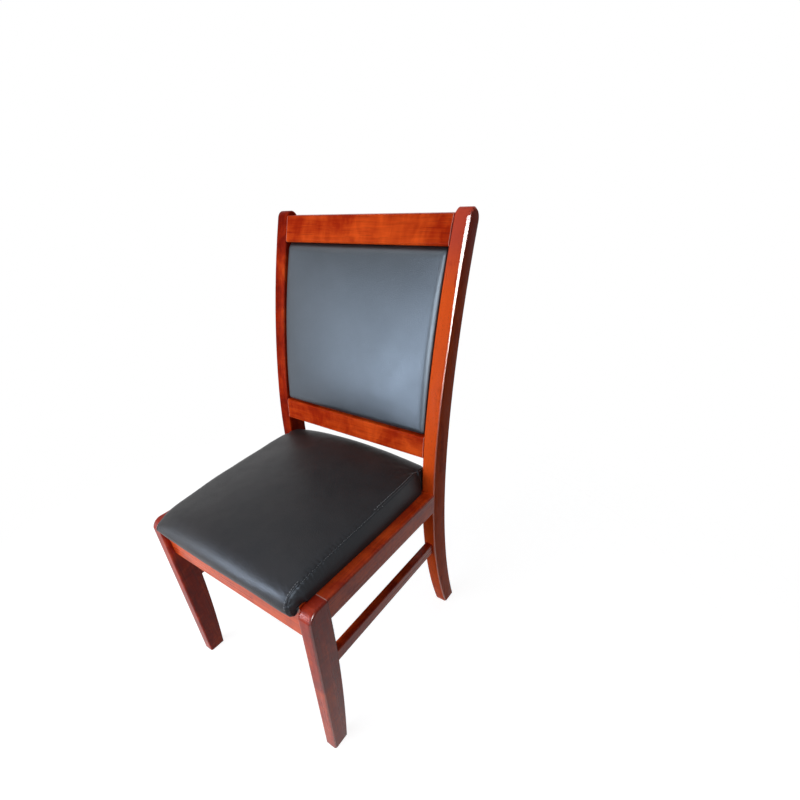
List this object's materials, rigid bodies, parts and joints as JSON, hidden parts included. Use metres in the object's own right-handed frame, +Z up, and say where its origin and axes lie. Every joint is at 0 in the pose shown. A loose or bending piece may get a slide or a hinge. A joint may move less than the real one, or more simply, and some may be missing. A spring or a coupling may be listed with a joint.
{
  "type": "office chair",
  "caption": "Fixed four-legged wooden office chair with a crowned black leatherette seat and a padded back between raked posts.",
  "frame": {"origin": "on the floor, under the middle of the overall box", "axes": "+Z up; +X across the chair, to the right of someone who stands in front of it; the chair faces -Y"},
  "size_m": [0.46, 0.54, 0.93],
  "materials": {
    "stained_wood": "glossy red-brown stained lacquer",
    "raw_wood": "unfinished",
    "plywood": "unfinished plywood",
    "leatherette": "black, fine grain, satin",
    "foam": "open-cell foam",
    "dust_cloth": "black non-woven cloth",
    "zinc_steel": "zinc plated",
    "nylon": "moulded"
  },
  "bodies": {
    "root": {"rear_post_left": "stained_wood", "rear_post_right": "stained_wood", "front_leg_left": "stained_wood", "front_leg_right": "stained_wood", "side_rail_left": "stained_wood", "side_rail_right": "stained_wood", "front_rail": "stained_wood", "rear_rail": "stained_wood", "side_stretcher_left": "stained_wood", "side_stretcher_right": "stained_wood", "lower_back_rail": "stained_wood", "top_back_rail": "stained_wood", "corner_block_front_left": "raw_wood", "corner_block_front_right": "raw_wood", "corner_block_rear_left": "raw_wood", "corner_block_rear_right": "raw_wood", "back_keys": "raw_wood", "seat_board": "plywood", "back_board": "plywood", "seat_cover": "leatherette", "seat_side_band_left": "leatherette", "seat_side_band_right": "leatherette", "back_cover": "leatherette", "back_rear_cover": "leatherette", "seat_foam": "foam", "back_foam": "foam", "seat_dust_cover": "dust_cloth", "corner_block_screws": "zinc_steel", "seat_screws": "zinc_steel", "foot_glides": "nylon"}
  },
  "joints": []
}
